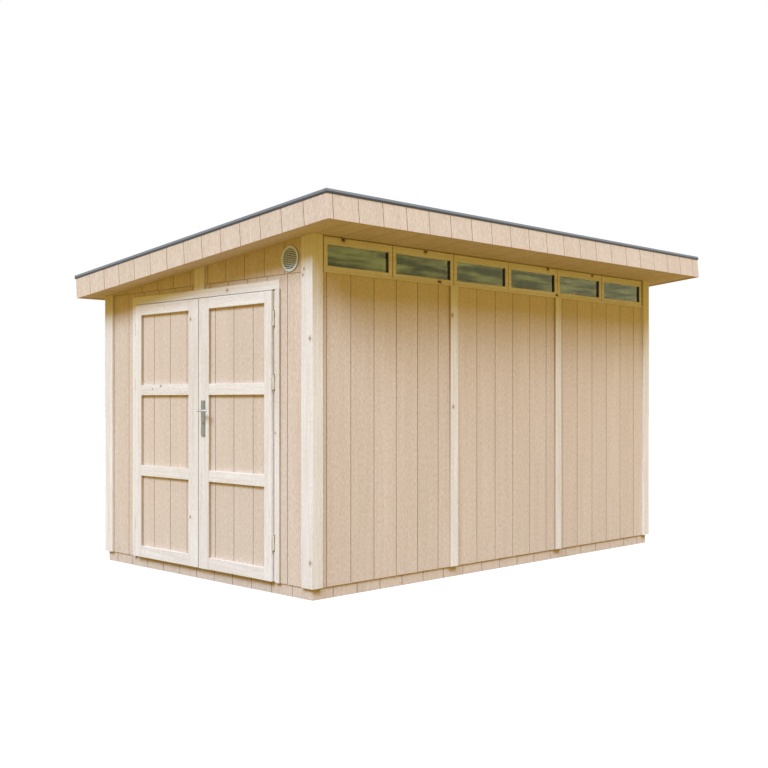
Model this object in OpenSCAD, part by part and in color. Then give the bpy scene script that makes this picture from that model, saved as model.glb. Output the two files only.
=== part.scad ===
// Timber garden shed with a mono-pitch roof, a clerestory window row and a pair of doors.
// The door wall faces -Y, the window wall faces +X, and the ground is z = 0.

/* [Base] */
// Width of the base along the door wall
base_w = 2347; // [2150:1:2800]
// Length of the base along the window wall
base_l = 3753; // [3200:1:4400]
// Height of the base from the ground to the foot of the walls
base_h = 72; // [60:1:110]
// Thickness of the floor boards
floor_t = 18; // [12:1:28]
// Width of a floor bearer
bearer_w = 58; // [40:1:90]
// Number of floor bearers
bearer_count = 6; // [4:1:9]

/* [Cladding] */
// Thickness of the grooved cladding sheets
clad_t = 12; // [10:1:16]
// How far the cladding stands out past the base
clad_proud = 8; // [2:1:9]
// Spacing of the grooves
groove_pitch = 203.2; // [100:0.1:305]
// Width of a groove at its mouth
groove_w = 4.5; // [3:0.5:12]
// Depth of a groove
groove_d = 5; // [1:0.5:6]
// Narrowing of a groove from its mouth to its foot
groove_taper = 0.5; // [0:0.5:2]
// Least distance from a groove to the edge of its sheet
groove_margin = 8; // [6:1:30]
// Height of the level joint below the gable sheets
joint_z = 2000; // [1985:1:2001]
// Open joint between neighbouring sheets
sheet_gap = 3; // [1:1:6]
// First groove of the lower door wall, from the corner by the windows
front_groove = 228; // [120:1:300]
// First groove of the gable sheets, from the corner by the windows
gable_groove = 256; // [120:1:300]
// First groove of the window wall, from the corner by the doors
side_groove = 106; // [40:1:200]
// First groove of the plinth under the doors, from the corner by the windows
plinth_front_groove = 192; // [120:1:300]
// First groove of the plinth under the windows, from the corner by the doors
plinth_side_groove = 168; // [40:1:200]
// First groove of the gable fascias, from the high corner
fascia_groove = 208; // [40:1:230]
// First groove of the eave fascias, from the door end
eave_groove = 43; // [30:1:230]
// First groove of the soffits, from the door end
soffit_groove = 228; // [30:1:230]

/* [Wall frame] */
// Width of a stud or plate, seen from the room
stud_w = 45; // [35:1:60]
// Depth of a stud or plate
stud_d = 45; // [35:1:70]
// Number of stud bays in the back wall
back_bays = 4; // [4:2:6]

/* [Trim] */
// Thickness of the corner boards and cover battens
trim_t = 16; // [12:1:24]
// Width of a corner board on the door wall and the back wall
corner_w = 89; // [60:1:110]
// Width of a corner board on the two long walls
side_corner_w = 86; // [60:1:110]
// Width of a cover batten
batten_w = 78; // [50:1:110]
// Spacing of the cover battens on the long walls
batten_spacing = 1208; // [1000:1:1300]
// Width of the post above the doors
post_w = 108; // [70:1:140]
// How far the post sits off the middle of the wall
post_offset = 27; // [-60:1:60]

/* [Windows] */
// Number of sashes in the window row
sash_count = 6; // [4:2:8]
// Height of the sill strip under the sashes
sill_h = 12; // [8:1:30]
// How far the sill strip stands out past the sashes
sill_proud = 8; // [0:1:20]
// How far the sashes stand out past the cladding
sash_proud = 6; // [2:1:12]
// Gap between the window row and the corner boards
row_gap = 13; // [4:1:30]
// Gap between the sashes and the soffit
over_sash = 6; // [4:1:40]
// Width of a sash stile
sash_stile = 30; // [26:1:60]
// Height of a sash bottom rail
sash_bottom = 26; // [20:1:45]
// Height of a sash top rail
sash_top = 42; // [30:1:60]
// Gap between neighbouring sashes
sash_gap = 8; // [2:1:14]
// Thickness of the glass
glass_t = 4; // [3:1:8]
// How far the glass reaches into its rebate
glass_lap = 8; // [4:1:14]

/* [Door frame] */
// Width of the door frame over its jambs
door_frame_w = 1690; // [1400:1:1800]
// Height of the cladding strip between the door frame and the level joint
over_door_h = 32; // [25:1:120]
// How far the doors sit off the middle of the wall
door_offset = 38; // [-60:1:60]
// Width of a jamb
jamb_w = 41; // [30:1:60]
// Height of the head
head_h = 56; // [40:1:80]
// Width of a door stop
stop_w = 46; // [35:1:60]
// Height of the threshold
threshold_h = 18; // [10:1:30]

/* [Doors] */
// Thickness of the stiles and rails
board_t = 21; // [15:1:28]
// How far the doors stand out past the jambs
leaf_proud = 12; // [6:1:16]
// Gap between a door and its jamb at the hinges
hinge_gap = 20; // [18:1:26]
// Gap between the doors, and over and under them
leaf_gap = 6; // [5:1:10]
// Width of a hinge stile
hinge_stile = 73; // [50:1:110]
// Width of a meeting stile
meeting_stile = 115; // [80:1:140]
// Height of the top rail
top_rail = 75; // [50:1:110]
// Height of a middle rail
mid_rail = 75; // [50:1:100]
// Height of the bottom rail
bottom_rail = 80; // [50:1:120]
// Height of the middle of the upper rail above the ground
upper_rail_z = 1289; // [1200:1:1400]
// Height of the middle of the lower rail above the ground
lower_rail_z = 706; // [600:1:800]
// First groove of a door sheet, from its hinge edge
leaf_groove = 212; // [100:1:220]

/* [Hinges] */
// Height of a hinge
hinge_h = 90; // [60:1:120]
// Diameter of a knuckle
knuckle_d = 14; // [10:1:15]
// Diameter of a pin
pin_d = 7; // [5:0.5:8]
// Running clearance round a pin
pin_clear = 0.1; // [0.05:0.05:0.1]
// Gap between the two halves of a hinge
knuckle_gap = 0.3; // [0.2:0.1:0.8]
// Thickness of a hinge flap
flap_t = 2; // [1.5:0.5:2.5]
// Depth of a hinge flap
flap_w = 22; // [14:1:26]
// How far a knuckle sits back from the face of the doors
knuckle_set = 1; // [0:0.5:3]
// Metal left over the end of a pin
pin_cap = 1.5; // [1:0.5:3]
// Height of the low hinges above the ground
hinge_low_z = 320; // [200:1:420]
// Height of the middle hinges above the ground
hinge_mid_z = 1328; // [1100:1:1450]
// Height of the high hinges above the ground
hinge_high_z = 1729; // [1600:1:1780]

/* [Lock] */
// Width of a lock plate
plate_w = 41; // [36:1:55]
// Height of a lock plate
plate_h = 242; // [180:1:280]
// Thickness of a lock plate
plate_t = 7; // [4:1:10]
// Corner radius of a lock plate
plate_corner = 4; // [2:1:8]
// Distance from the meeting edge to the middle of the plate
backset = 56; // [40:1:70]
// Height of the lever above the ground
lever_z = 1146; // [1000:1:1200]
// Height of the middle of the plate above the ground
plate_z = 1094; // [1000:1:1180]
// Distance from the lever down to the key cylinder
key_drop = 85; // [60:1:110]
// How far the key cylinder stands out past its plate
key_proud = 4; // [2:1:8]
// Diameter of the lever's neck and bar
lever_d = 16; // [14:1:22]
// Length of the lever
lever_l = 105; // [80:1:150]
// Radius of the bend from the neck to the bar
lever_bend = 15; // [12:1:25]
// Distance from the plate to the middle of the lever
lever_out = 46; // [35:1:60]
// Diameter of the spindle through the door
spindle_d = 9; // [7:1:12]
// Clearance round the spindle in the door
spindle_clear = 1; // [0.5:0.5:3]
// Running clearance of the lever
lever_clear = 0.3; // [0.2:0.1:0.5]

/* [Vent] */
// Diameter of the round vent
vent_d = 160; // [100:1:170]
// Width of the vent's rim
vent_rim = 13; // [8:1:20]
// Thickness of the vent
vent_t = 8; // [5:1:14]
// Number of vent slats
vent_slats = 12; // [6:1:18]
// Tilt of the vent slats in degrees
slat_tilt = 35; // [0:1:50]
// Thickness of a vent slat
slat_t = 3; // [2:0.5:5]
// Distance of the vent from the corner by the windows
vent_from_corner = 199; // [185:1:260]
// Height of the middle of the vent above the ground
vent_z = 2092; // [2085:1:2098]

/* [Roof] */
// Height of the soffit at the base line of the window wall
soffit_z = 2226; // [2215:1:2300]
// Height of the soffit at the base line of the low wall
soffit_low_z = 2004.5; // [2004.5:0.5:2060]
// Overhang past the base on the window side
over_high = 375; // [200:1:450]
// Overhang past the base on the low side
over_low = 114; // [80:1:250]
// Overhang past the base at the door end
over_front = 210; // [120:1:300]
// Overhang past the base at the back
over_back = 236; // [120:1:300]
// Height of the fascia boards
fascia_h = 147; // [120:1:200]
// How far the fascias drop below the soffit
fascia_drop = 10; // [0:1:20]
// Width of a rafter
rafter_w = 45; // [35:1:60]
// Number of rafters between the end walls
inner_rafters = 5; // [3:1:8]
// Thickness of the roof boards
deck_t = 18; // [12:1:24]
// Thickness of the roofing felt
felt_t = 3; // [2:1:5]
// Height of the metal edge strip
edge_h = 28; // [24:1:45]
// Thickness of the metal edge strip
edge_t = 2; // [1:0.5:3]
// How far the nose of the edge strip stands out past the roof
edge_nose = 7; // [4:0.5:12]
// Height of the nose above the foot of the edge strip
nose_h = 12; // [6:1:18]
// Width of the metal flange on the roof behind the edge strip
edge_flange = 60; // [30:1:100]

/* [Hidden] */
$fn = 48;

// Fitting gap between neighbouring pieces that share a line
fit = 0.5;
// Seating gap where a piece bears on the roof's slope
seat = 0.1;
// Overcut that carries a cut past the face it starts from
cut = 1;

siding_colour = "#d9c3aa";
trim_colour = "#e9dfd0";
frame_colour = "#dcbf94";
steel_colour = "#b9bbbd";
edge_colour = "#7f868c";

// Roof frame: u runs up the slope from the base line of the window wall, v is square to the soffit
roof_slope = atan((soffit_z - soffit_low_z) / base_w);
slope_c = cos(roof_slope);
slope_s = sin(roof_slope);
u_high = over_high;
u_low = -base_w / slope_c - over_low;
v_low = -fascia_drop;
v_deck = v_low + fascia_h;
v_felt = v_deck + deck_t;
v_edge = v_felt + felt_t;
v_top = v_deck + edge_h;
v_nose = v_deck + nose_h;
plate_foot = clad_t - stud_w;

// Base corners, set so that the whole shed is centred on the origin
function roof_x(u, v) = u * slope_c - v * slope_s;
reach_high = max(roof_x(u_high, v_low), roof_x(u_high + edge_nose, v_nose));
reach_low = min(roof_x(u_low - edge_t, v_top), roof_x(u_low - edge_nose, v_nose));
x1 = -(reach_high + reach_low) / 2;
x0 = x1 - base_w;
y0 = -(base_l + over_back - over_front) / 2;
y1 = y0 + base_l;
roof_y0 = y0 - over_front;
roof_y1 = y1 + over_back;
roof_l = roof_y1 - roof_y0;

// Depths into a wall, from the face of the base inwards
clad_face = -clad_proud;
trim_face = clad_face - trim_t;
frame_face = clad_face + clad_t;
room_face = frame_face + stud_d;
between_ends = [room_face + fit, base_l - room_face - fit];
leaf_face = trim_face - leaf_proud;
sheet_face = leaf_face + board_t;
leaf_back = sheet_face + clad_t;

// Door wall positions, from its left end seen from outside
door_mid = base_w / 2 + door_offset;
door_l = door_mid - door_frame_w / 2;
door_r = door_mid + door_frame_w / 2;
door_frame_top = joint_z - over_door_h;
head_z = door_frame_top - head_h;
leaf_w = door_frame_w / 2 - jamb_w - hinge_gap - leaf_gap / 2;
leaf_z0 = base_h + leaf_gap;
leaf_z1 = head_z - leaf_gap;
threshold_z = base_h + threshold_h;
hinge_zs = [hinge_low_z, hinge_mid_z, hinge_high_z];
knuckle_depth = leaf_face + knuckle_d / 2 + knuckle_set;
post_mid = base_w / 2 + post_offset;

// Window row positions along the window wall
row_a = trim_face + side_corner_w + row_gap;
row_b = base_l - row_a;
sash_pitch = (row_b - row_a) / sash_count;
sash_face = clad_face - sash_proud;
end_stud = room_face + fit + stud_w / 2;
sash_z0 = joint_z + sill_h;
sash_z1 = soffit_z - over_sash;
sash_joints = [for (n = [1:sash_count - 1]) row_a + n * sash_pitch];
side_studs = concat(end_stud, sash_joints, base_l - end_stud);
batten_lines = [(base_l - batten_spacing) / 2, (base_l + batten_spacing) / 2];
sheet_ends = concat(clad_face - sheet_gap / 2, batten_lines, base_l - clad_face + sheet_gap / 2);

function roof_z(x, v) = soffit_z + v / slope_c + (x - x1) * tan(roof_slope);

// Wall frames: s runs along the wall from left to right seen from outside, d runs into the wall
module on_front() translate([x0, y0, 0]) children();
module on_window_side() translate([x1, y0, 0]) rotate(90) children();
module on_back() translate([x1, y1, 0]) rotate(180) children();
module on_low_side() translate([x0, y1, 0]) rotate(-90) children();
module on_both_ends() {
    on_front() children();
    on_back() children();
}
module on_both_sides() {
    on_window_side() children();
    on_low_side() children();
}
module on_roof() translate([x1, 0, soffit_z]) rotate([0, -roof_slope, 0]) children();

// A box given by its two corners along s, d and z
module block(s, d, z) translate([s[0], d[0], z[0]]) cube([s[1] - s[0], d[1] - d[0], z[1] - z[0]]);

// Everything below the roof plane at height v over the soffit
module below_roof(v) {
    far = base_w + over_low + over_high;
    rotate([90, 0, 0]) linear_extrude(2 * roof_l, center = true)
        polygon([[-far, 0], [far, 0], [far, roof_z(far, v)], [-far, roof_z(-far, v)]]);
}

module under_soffit()
    intersection() {
        children();
        below_roof(-seat);
    }

// Plan of a grooved sheet from a to b, its outer face on y = 0, with one groove on the line ref
function grooves(a, b, ref) = [
    for (n = [floor((a - ref) / groove_pitch):ceil((b - ref) / groove_pitch)])
        let (s = ref + n * groove_pitch)
        if (s - groove_w / 2 > a + groove_margin && s + groove_w / 2 < b - groove_margin) s
];
function groove_notch(s) =
    let (mouth = groove_w / 2, foot = (groove_w - groove_taper) / 2)
    [[s - mouth, 0], [s - foot, groove_d], [s + foot, groove_d], [s + mouth, 0]];
function sheet_plan(a, b, ref) = concat(
    [[a, 0]], [for (s = grooves(a, b, ref)) each groove_notch(s)], [[b, 0], [b, clad_t], [a, clad_t]]
);
module sheet(s, z, ref)
    translate([0, 0, z[0]]) linear_extrude(z[1] - z[0]) polygon(sheet_plan(s[0], s[1], ref));
module wall_sheet(s, z, ref) translate([0, clad_face, 0]) sheet(s, z, ref);

// Rectangle with round corners about the origin
module round_rect(w, h, r) {
    square([w - 2 * r, h], center = true);
    square([w, h - 2 * r], center = true);
    for (i = [-1, 1], j = [-1, 1]) translate([i * (w / 2 - r), j * (h / 2 - r)]) circle(r);
}

// Base
module floor_bearers() color(frame_colour) {
    bearer_z = base_h - floor_t;
    step = (base_l - 2 * clad_t - bearer_w) / (bearer_count - 1);
    for (n = [0:bearer_count - 1])
        translate([x0 + clad_t, y0 + clad_t + n * step, 0]) cube([base_w - 2 * clad_t, bearer_w, bearer_z]);
}
module floor_boards() color(frame_colour)
    translate([x0 + clad_t, y0 + clad_t, base_h - floor_t])
        cube([base_w - 2 * clad_t, base_l - 2 * clad_t, floor_t]);
module plinth_ends() color(siding_colour)
    on_both_ends() sheet([0, base_w], [0, base_h], base_w - plinth_front_groove);
module plinth_sides() color(siding_colour)
    on_both_sides() sheet([clad_t, base_l - clad_t], [0, base_h], plinth_side_groove);

// Wall frame
module plate(s) block(s, [frame_face, room_face], [base_h, base_h + stud_w]);
module bottom_plates() color(frame_colour) {
    on_front() plate([frame_face, door_l]);
    on_front() plate([door_r, base_w - frame_face]);
    on_back() plate([frame_face, base_w - frame_face]);
    on_both_sides() plate(between_ends);
}
module stud(s, z1) block([s - stud_w / 2, s + stud_w / 2], [frame_face, room_face], [base_h + stud_w, z1]);
module wall_studs() color(frame_colour) {
    end = frame_face + stud_w / 2;
    front_lines = [end, door_l - stud_w / 2, door_r + stud_w / 2, base_w - end];
    back_lines = concat(end, [for (n = [1:back_bays - 1]) n * base_w / back_bays], base_w - end);
    intersection() {
        union() {
            on_front() for (s = front_lines) stud(s, soffit_z);
            on_back() for (s = back_lines) stud(s, soffit_z);
            on_low_side() for (s = side_studs) stud(s, soffit_z);
        }
        below_roof(plate_foot);
    }
    on_window_side() for (s = side_studs) stud(s, joint_z - stud_w);
}
module tall_plate(s) block(s, [frame_face, room_face], [base_h, 2 * soffit_z]);
module top_plates() color(frame_colour) {
    difference() {
        intersection() {
            union() {
                on_both_ends() tall_plate([frame_face, base_w - frame_face]);
                on_both_sides() tall_plate(between_ends);
            }
            below_roof(clad_t - seat);
        }
        below_roof(plate_foot + seat);
    }
    on_window_side()
        block(between_ends, [frame_face, room_face], [joint_z - stud_w, joint_z]);
}
module door_lintel() color(frame_colour)
    intersection() {
        on_front() block([door_l, door_r], [frame_face, room_face], [door_frame_top, joint_z + stud_w / 2]);
        below_roof(plate_foot);
    }

// Cladding
module front_wall_sheets() color(siding_colour)
    under_soffit() on_front() {
        wall_sheet([frame_face, door_l], [base_h, joint_z], base_w - front_groove);
        wall_sheet([door_r, base_w - frame_face], [base_h, joint_z], base_w - front_groove);
        over_door = [door_l + sheet_gap, door_r - sheet_gap];
        wall_sheet(over_door, [door_frame_top, joint_z], base_w - front_groove);
    }
module sheet_pair(middle, z, first_groove) {
    wall_sheet([frame_face, middle - sheet_gap / 2], z, base_w - first_groove);
    wall_sheet([middle + sheet_gap / 2, base_w - frame_face], z, base_w - first_groove);
}
module front_gable_sheets() color(siding_colour)
    under_soffit() on_front() difference() {
        sheet_pair(post_mid, [joint_z + sheet_gap, soffit_z], gable_groove);
        vent_hole();
    }
module side_wall_sheets(z1)
    for (n = [0:len(sheet_ends) - 2]) {
        span = [sheet_ends[n] + sheet_gap / 2, sheet_ends[n + 1] - sheet_gap / 2];
        wall_sheet(span, [base_h, z1], side_groove);
    }
module window_wall_sheets() color(siding_colour) on_window_side() side_wall_sheets(joint_z);
module low_wall_sheets() color(siding_colour) under_soffit() on_low_side() side_wall_sheets(soffit_z);
module back_wall_sheets() color(siding_colour)
    under_soffit() on_back() {
        sheet_pair(base_w / 2, [joint_z + sheet_gap, soffit_z], gable_groove);
        sheet_pair(base_w / 2, [base_h, joint_z], front_groove);
    }

// Trim
module trim(s) block(s, [trim_face, clad_face], [base_h, 2 * soffit_z]);
module gable_corner_boards() color(trim_colour)
    under_soffit() on_both_ends() {
        trim([clad_face, clad_face + corner_w]);
        trim([base_w - clad_face - corner_w, base_w - clad_face]);
    }
module side_corner_boards() color(trim_colour)
    under_soffit() on_both_sides() {
        trim([trim_face, trim_face + side_corner_w]);
        trim([base_l - trim_face - side_corner_w, base_l - trim_face]);
    }
module battens(z1)
    for (s = batten_lines) block([s - batten_w / 2, s + batten_w / 2], [trim_face, clad_face], [base_h, z1]);
module cover_battens() color(trim_colour) {
    on_window_side() battens(joint_z);
    under_soffit() on_low_side() battens(soffit_z);
    under_soffit() on_back() trim([(base_w - batten_w) / 2, (base_w + batten_w) / 2]);
}
module front_gable_post() color(trim_colour)
    under_soffit() on_front() translate([post_mid, 0, 0])
        block([-post_w / 2, post_w / 2], [trim_face, clad_face], [door_frame_top, 2 * soffit_z]);

// Windows
module window_mullions() color(frame_colour)
    intersection() {
        on_window_side() for (s = side_studs)
            block([s - stud_w / 2, s + stud_w / 2], [frame_face, room_face], [joint_z, soffit_z]);
        below_roof(plate_foot);
    }
module window_sill() color(trim_colour)
    on_window_side() block([row_a, row_b], [sash_face - sill_proud, frame_face], [joint_z, sash_z0]);
// The space from one sash edge inwards, with the margin m at the sides, b below and t above
module sash_space(n, d, m, b, t) {
    a = row_a + n * sash_pitch + sash_gap / 2;
    block([a + m, a + sash_pitch - sash_gap - m], d, [sash_z0 + b, sash_z1 - t]);
}
module pane_space(n, d, play) {
    lap = glass_lap - play;
    sash_space(n, d, sash_stile - lap, sash_bottom - lap, sash_top - lap);
}
module window_sashes() color(trim_colour)
    on_window_side() for (n = [0:sash_count - 1]) difference() {
        sash_space(n, [sash_face, frame_face], 0, 0, 0);
        sash_space(n, [sash_face - cut, frame_face], sash_stile, sash_bottom, sash_top);
        pane_space(n, [frame_face - glass_t, frame_face + cut], 0);
    }
module window_panes() color("#6f7466", 0.5)
    on_window_side() for (n = [0:sash_count - 1]) pane_space(n, [frame_face - glass_t, frame_face], fit);

// Door frame
module door_jambs() color(trim_colour)
    on_front() for (s = [door_l, door_r - jamb_w])
        block([s, s + jamb_w], [trim_face, room_face], [base_h, head_z]);
module door_head() color(trim_colour)
    on_front() block([door_l, door_r], [trim_face, room_face], [head_z, door_frame_top]);
module door_stops() color(frame_colour)
    on_front() {
        for (s = [door_l + jamb_w, door_r - jamb_w - stop_w])
            block([s, s + stop_w], [frame_face, room_face], [threshold_z, head_z]);
        block([door_l + jamb_w + stop_w + fit, door_r - jamb_w - stop_w - fit], [frame_face, room_face],
            [head_z - stop_w / 2, head_z]);
    }
module door_threshold() color(frame_colour)
    on_front() block([door_l + jamb_w, door_r - jamb_w], [frame_face, room_face], [base_h, threshold_z]);

// Doors: u runs from the hinge edge to the meeting edge
module on_left_leaf() on_front() translate([door_l + jamb_w + hinge_gap, 0, 0]) children();
module on_right_leaf() on_front() translate([door_r - jamb_w - hinge_gap, 0, 0]) mirror([1, 0, 0]) children();
module leaf_sheet() translate([0, sheet_face, 0]) sheet([0, leaf_w], [leaf_z0, leaf_z1], leaf_groove);
module board(u, z) block(u, [leaf_face, sheet_face], z);
module leaf_stiles() {
    board([0, hinge_stile], [leaf_z0, leaf_z1]);
    board([leaf_w - meeting_stile, leaf_w], [leaf_z0, leaf_z1]);
}
module leaf_rails() {
    span = [hinge_stile, leaf_w - meeting_stile];
    board(span, [leaf_z0, leaf_z0 + bottom_rail]);
    for (z = [lower_rail_z, upper_rail_z]) board(span, [z - mid_rail / 2, z + mid_rail / 2]);
    board(span, [leaf_z1 - top_rail, leaf_z1]);
}
module left_door_sheet() color(siding_colour) on_left_leaf() leaf_sheet();
module left_door_stiles() color(trim_colour) on_left_leaf() leaf_stiles();
module left_door_rails() color(trim_colour) on_left_leaf() leaf_rails();
module right_door_sheet() color(siding_colour)
    difference() {
        on_right_leaf() leaf_sheet();
        on_lock() spindle_hole();
    }
module right_door_stiles() color(trim_colour)
    difference() {
        on_right_leaf() leaf_stiles();
        on_lock() spindle_hole();
    }
module right_door_rails() color(trim_colour) on_right_leaf() leaf_rails();

// Hinges: each frame half carries the pin, each door half turns on it
module at_hinges() for (z = hinge_zs) translate([-hinge_gap / 2, knuckle_depth, z]) children();
flap_depth = [trim_face - knuckle_depth, trim_face - knuckle_depth + flap_w];
module frame_hinge() {
    half = (hinge_h - knuckle_gap) / 2;
    translate([0, 0, -hinge_h / 2]) cylinder(d = knuckle_d, h = half);
    translate([0, 0, -hinge_h / 2]) cylinder(d = pin_d, h = hinge_h - pin_cap - knuckle_gap);
    block([-hinge_gap / 2, -hinge_gap / 2 + flap_t], flap_depth, [-hinge_h / 2, hinge_h / 2]);
    block([-hinge_gap / 2, 0], [flap_depth[0], knuckle_d / 2], [-hinge_h / 2, -hinge_h / 2 + half]);
}
module door_hinge() {
    half = (hinge_h - knuckle_gap) / 2;
    difference() {
        union() {
            translate([0, 0, hinge_h / 2 - half]) cylinder(d = knuckle_d, h = half);
            block([0, hinge_gap / 2], [flap_depth[0], knuckle_d / 2], [hinge_h / 2 - half, hinge_h / 2]);
        }
        translate([0, 0, -hinge_h / 2]) cylinder(d = pin_d + 2 * pin_clear, h = hinge_h - pin_cap);
    }
    block([hinge_gap / 2 - flap_t, hinge_gap / 2], flap_depth, [-hinge_h / 2, hinge_h / 2]);
}
module frame_hinges() color(steel_colour) {
    on_left_leaf() at_hinges() frame_hinge();
    on_right_leaf() at_hinges() frame_hinge();
}
module left_door_hinges() color(steel_colour) on_left_leaf() at_hinges() door_hinge();
module right_door_hinges() color(steel_colour) on_right_leaf() at_hinges() door_hinge();

// Lock: its frame has the lever's axis along y, with x towards the hinges
module on_lock() on_front() translate([door_mid + leaf_gap / 2 + backset, 0, lever_z]) children();
module spindle_hole()
    translate([0, leaf_face - cut, 0]) rotate([-90, 0, 0])
        cylinder(d = spindle_d + 2 * spindle_clear, h = leaf_back - leaf_face + 2 * cut);
module lock_plate() {
    difference() {
        translate([0, 0, plate_z - lever_z]) rotate([90, 0, 0]) linear_extrude(plate_t)
            round_rect(plate_w, plate_h, plate_corner);
        rotate([90, 0, 0]) translate([0, 0, -cut])
            cylinder(d = lever_d + 2 * lever_clear, h = plate_t + 2 * cut);
    }
    translate([0, 0, -key_drop]) rotate([90, 0, 0]) cylinder(d = lever_d, h = plate_t + key_proud);
}
module lock_plates() color(steel_colour)
    on_lock() {
        translate([0, leaf_face, 0]) lock_plate();
        translate([0, leaf_back, 0]) mirror([0, 1, 0]) lock_plate();
    }
module lever() {
    neck = plate_t + lever_out - lever_bend;
    bar = lever_l - lever_bend - lever_d / 2;
    rotate([90, 0, 0]) cylinder(d = lever_d, h = neck);
    translate([lever_bend, -neck, 0]) {
        rotate(180) rotate_extrude(angle = 90) translate([lever_bend, 0]) circle(d = lever_d);
        translate([0, -lever_bend, 0]) rotate([0, 90, 0]) cylinder(d = lever_d, h = bar);
        translate([bar, -lever_bend, 0]) sphere(d = lever_d);
    }
}
module lever_handle() color(steel_colour)
    on_lock() {
        translate([0, leaf_face, 0]) lever();
        translate([0, leaf_back, 0]) mirror([0, 1, 0]) lever();
        translate([0, leaf_face - cut, 0]) rotate([-90, 0, 0])
            cylinder(d = spindle_d, h = leaf_back - leaf_face + 2 * cut);
    }

// Vent
module at_vent() translate([base_w - vent_from_corner, clad_face, vent_z]) rotate([90, 0, 0]) children();
module vent_hole() at_vent() translate([0, 0, -clad_t - cut])
    cylinder(d = vent_d - 2 * vent_rim, h = clad_t + 2 * cut);
module vent_grille() color("gainsboro")
    on_front() at_vent() {
        difference() {
            cylinder(d = vent_d, h = vent_t);
            translate([0, 0, -cut]) cylinder(d = vent_d - 2 * vent_rim, h = vent_t + 2 * cut);
        }
        step = (vent_d - 2 * vent_rim) / vent_slats;
        intersection() {
            cylinder(d = vent_d - vent_rim, h = vent_t);
            for (n = [0:vent_slats - 1])
                translate([0, (n + 0.5) * step - vent_d / 2 + vent_rim, vent_t / 2])
                    rotate([slat_tilt, 0, 0]) cube([vent_d, slat_t, 2 * vent_t], center = true);
        }
    }

// Roof
module roof_box(u, y, v) on_roof() block(u, y, v);
module rafters() color(frame_colour) {
    first = y0 + frame_face;
    last = y1 - frame_face - rafter_w;
    step = (last - first) / (inner_rafters + 1);
    lines = concat(roof_y0 + clad_t, [for (n = [0:inner_rafters + 1]) first + n * step],
        roof_y1 - clad_t - rafter_w);
    for (y = lines) roof_box([u_low + clad_t, u_high - clad_t], [y, y + rafter_w], [clad_t, v_deck]);
}
module roof_deck() color(frame_colour) roof_box([u_low, u_high], [roof_y0, roof_y1], [v_deck, v_felt]);
module roof_felt() color("#3c4044") roof_box([u_low, u_high], [roof_y0, roof_y1], [v_felt, v_edge]);
// A nosed strip along x, hung outside y = 0
module edge_strip(length)
    rotate([90, 0, 90]) linear_extrude(length)
        polygon([[0, 0], [0, edge_h], [-edge_t, edge_h], [-edge_nose, nose_h], [-edge_t, 0]]);
module roof_edge_strips() color(edge_colour)
    on_roof() {
        gable_l = u_high - u_low - 2 * fit;
        eave_l = roof_l + 2 * edge_nose;
        translate([u_low + fit, roof_y0, v_deck]) edge_strip(gable_l);
        translate([u_high - fit, roof_y1, v_deck]) rotate(180) edge_strip(gable_l);
        translate([u_high, roof_y0 - edge_nose, v_deck]) rotate(90) edge_strip(eave_l);
        translate([u_low, roof_y1 + edge_nose, v_deck]) rotate(-90) edge_strip(eave_l);
    }
// Flat metal on the felt, behind the edge strips
module roof_edge_flanges() color(edge_colour) {
    v = [v_edge, v_edge + edge_t];
    inner = [u_low + edge_flange + fit, u_high - edge_flange - fit];
    roof_box([u_low, u_low + edge_flange], [roof_y0, roof_y1], v);
    roof_box([u_high - edge_flange, u_high], [roof_y0, roof_y1], v);
    roof_box(inner, [roof_y0, roof_y0 + edge_flange], v);
    roof_box(inner, [roof_y1 - edge_flange, roof_y1], v);
}
module gable_fascias() color(siding_colour)
    on_roof() {
        translate([0, roof_y0, 0]) sheet([u_low, u_high], [v_low, v_deck], u_high - fascia_groove);
        translate([0, roof_y1, 0]) rotate(180)
            sheet([-u_high, -u_low], [v_low, v_deck], fascia_groove - u_high);
    }
module eave_fascias() color(siding_colour)
    on_roof() {
        span = [roof_y0 + clad_t, roof_y1 - clad_t];
        translate([u_high, 0, 0]) rotate(90) sheet(span, [v_low, v_deck], roof_y0 + eave_groove);
        translate([u_low, 0, 0]) rotate(-90) sheet([-span[1], -span[0]], [v_low, v_deck], -roof_y0 - eave_groove);
    }
module soffit_strip(u, y)
    translate([u[0], 0, 0]) rotate([90, 0, 90]) linear_extrude(u[1] - u[0])
        polygon(sheet_plan(y[0], y[1], roof_y0 + soffit_groove));
module soffits() color(siding_colour)
    on_roof() {
        inner_low = (frame_face - base_w) / slope_c - seat;
        inner_high = (clad_t * slope_s - frame_face) / slope_c + seat;
        across = [roof_y0 + clad_t, roof_y1 - clad_t];
        soffit_strip([inner_high, u_high - clad_t], across);
        soffit_strip([u_low + clad_t, inner_low], across);
        soffit_strip([inner_low + fit, inner_high - fit], [across[0], y0 + frame_face - seat]);
        soffit_strip([inner_low + fit, inner_high - fit], [y1 - frame_face + seat, across[1]]);
    }

floor_bearers();
floor_boards();
plinth_ends();
plinth_sides();
bottom_plates();
wall_studs();
top_plates();
door_lintel();
front_wall_sheets();
front_gable_sheets();
window_wall_sheets();
back_wall_sheets();
low_wall_sheets();
gable_corner_boards();
side_corner_boards();
cover_battens();
front_gable_post();
window_mullions();
window_sill();
window_sashes();
window_panes();
door_jambs();
door_head();
door_stops();
door_threshold();
frame_hinges();
vent_grille();
rafters();
roof_deck();
roof_felt();
roof_edge_strips();
roof_edge_flanges();
gable_fascias();
eave_fascias();
soffits();
left_door_sheet();
left_door_stiles();
left_door_rails();
left_door_hinges();
right_door_sheet();
right_door_stiles();
right_door_rails();
right_door_hinges();
lock_plates();
lever_handle();
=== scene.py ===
import math

import bmesh
import bpy
from mathutils import Matrix, Vector


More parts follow.
